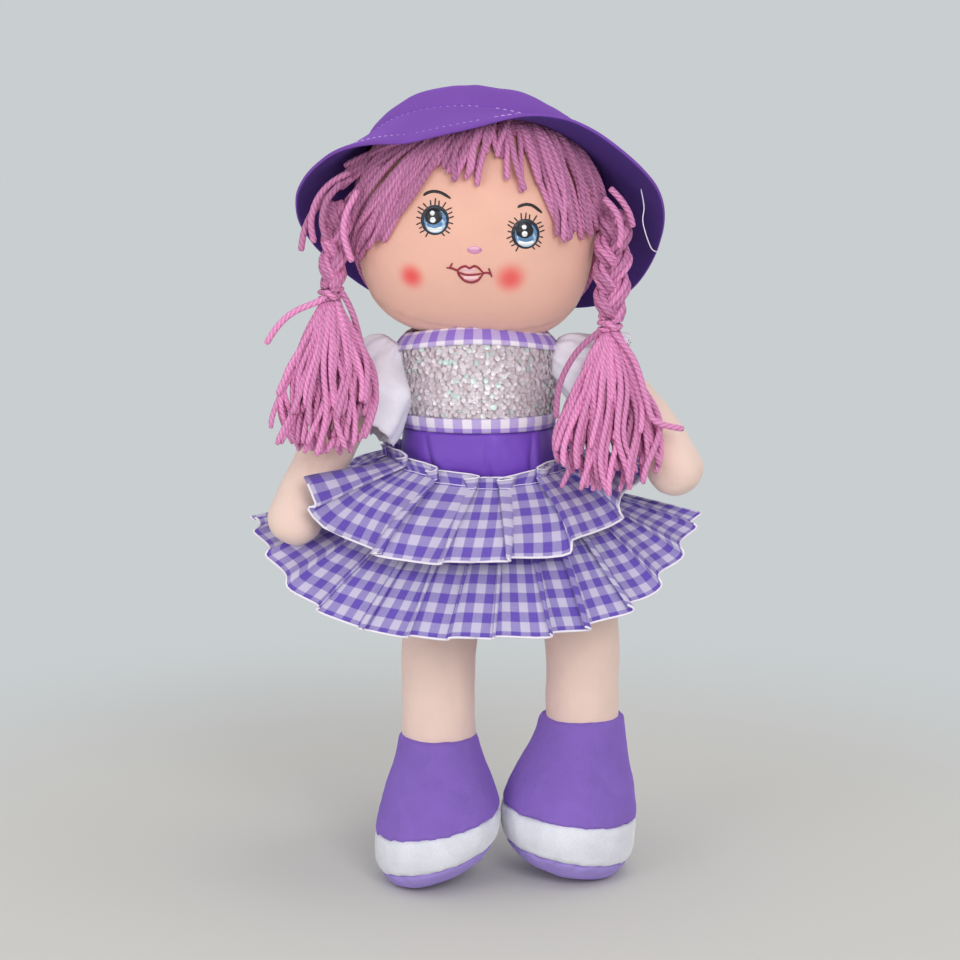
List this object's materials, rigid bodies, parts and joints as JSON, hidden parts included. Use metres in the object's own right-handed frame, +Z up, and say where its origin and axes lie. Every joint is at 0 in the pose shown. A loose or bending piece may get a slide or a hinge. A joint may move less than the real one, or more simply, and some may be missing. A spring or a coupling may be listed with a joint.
{
  "type": "rag doll",
  "caption": "Standing stuffed doll with an oval embroidered face, yarn plaits, a floppy hat, a ruffled checked dress and soft boots.",
  "frame": {"origin": "on the floor, under the middle of the doll", "axes": "+Z up from the soles to the hat, the doll faces -Y and its own left side is at +X"},
  "size_m": [0.2242, 0.159, 0.3988],
  "materials": {
    "cotton_head": "matte cotton jersey",
    "cotton_limb": "matte cotton jersey",
    "yarn": "chunky acrylic yarn",
    "hat_cotton": "brushed cotton twill",
    "sequin_tulle": "sheer cloth with round sequins",
    "gingham": "woven gingham check",
    "ribbon": "woven check ribbon",
    "white_cotton": "thin white cotton",
    "yoke_satin": "plain satin-back cloth",
    "plush_purple": "short-pile plush",
    "plush_white": "short-pile plush"
  },
  "bodies": {
    "torso": {"torso": "cotton_limb", "bodice": "sequin_tulle", "neckline_ribbon": "ribbon", "waist_ribbon": "ribbon", "skirt_yoke": "yoke_satin", "upper_ruffle": "gingham", "lower_ruffle": "gingham", "sleeve_right": "white_cotton", "sleeve_left": "white_cotton"},
    "neck": {"neck": "cotton_limb"},
    "head": {"head": "cotton_head", "hair_cap": "yarn", "fringe": "yarn", "hat_crown": "hat_cotton", "hat_brim": "hat_cotton"},
    "plait_right": {"plait_right": "yarn", "plait_tie_right": "yarn", "tassel_right": "yarn"},
    "plait_left": {"plait_left": "yarn", "plait_tie_left": "yarn", "tassel_left": "yarn"},
    "arm_right": {"arm_right": "cotton_limb"},
    "arm_left": {"arm_left": "cotton_limb"},
    "leg_right": {"leg_right": "cotton_limb", "boot_upper_right": "plush_purple", "boot_band_right": "plush_white", "boot_sole_right": "plush_purple"},
    "leg_left": {"leg_left": "cotton_limb", "boot_upper_left": "plush_purple", "boot_band_left": "plush_white", "boot_sole_left": "plush_purple"}
  },
  "joints": [
    {"name": "neck_tilt", "type": "hinge", "parent": "torso", "child": "neck", "pos_m": [0.001, 0, 0.2755], "axis": [0, 1, 0], "range_deg": [-15, 8]},
    {"name": "head_turn", "type": "hinge", "parent": "neck", "child": "head", "pos_m": [0.001, 0, 0.2755], "axis": [0, 0, 1], "range_deg": [-30, 30]},
    {"name": "plait_right_swing", "type": "hinge", "parent": "head", "child": "plait_right", "pos_m": [-0.0625, -0.015, 0.3385], "axis": [0, 1, 0], "range_deg": [0, 40], "deforming": ["tassel_right"]},
    {"name": "plait_left_swing", "type": "hinge", "parent": "head", "child": "plait_left", "pos_m": [0.065, -0.015, 0.333], "axis": [0, -1, 0], "range_deg": [0, 40], "deforming": ["tassel_left"]},
    {"name": "arm_right_lift", "type": "hinge", "parent": "torso", "child": "arm_right", "pos_m": [-0.047, -0.002, 0.262], "axis": [0, 1, 0], "range_deg": [0, 60], "deforming": ["sleeve_right"]},
    {"name": "arm_left_lift", "type": "hinge", "parent": "torso", "child": "arm_left", "pos_m": [0.049, -0.002, 0.262], "axis": [0, -1, 0], "range_deg": [0, 48], "deforming": ["sleeve_left"]},
    {"name": "leg_right_swing", "type": "hinge", "parent": "torso", "child": "leg_right", "pos_m": [-0.011, 0, 0.168], "axis": [-1, 0, 0], "range_deg": [-20, 85], "deforming": ["upper_ruffle", "lower_ruffle"]},
    {"name": "leg_left_swing", "type": "hinge", "parent": "torso", "child": "leg_left", "pos_m": [0.043, 0, 0.168], "axis": [-1, 0, 0], "range_deg": [-20, 85]}
  ]
}
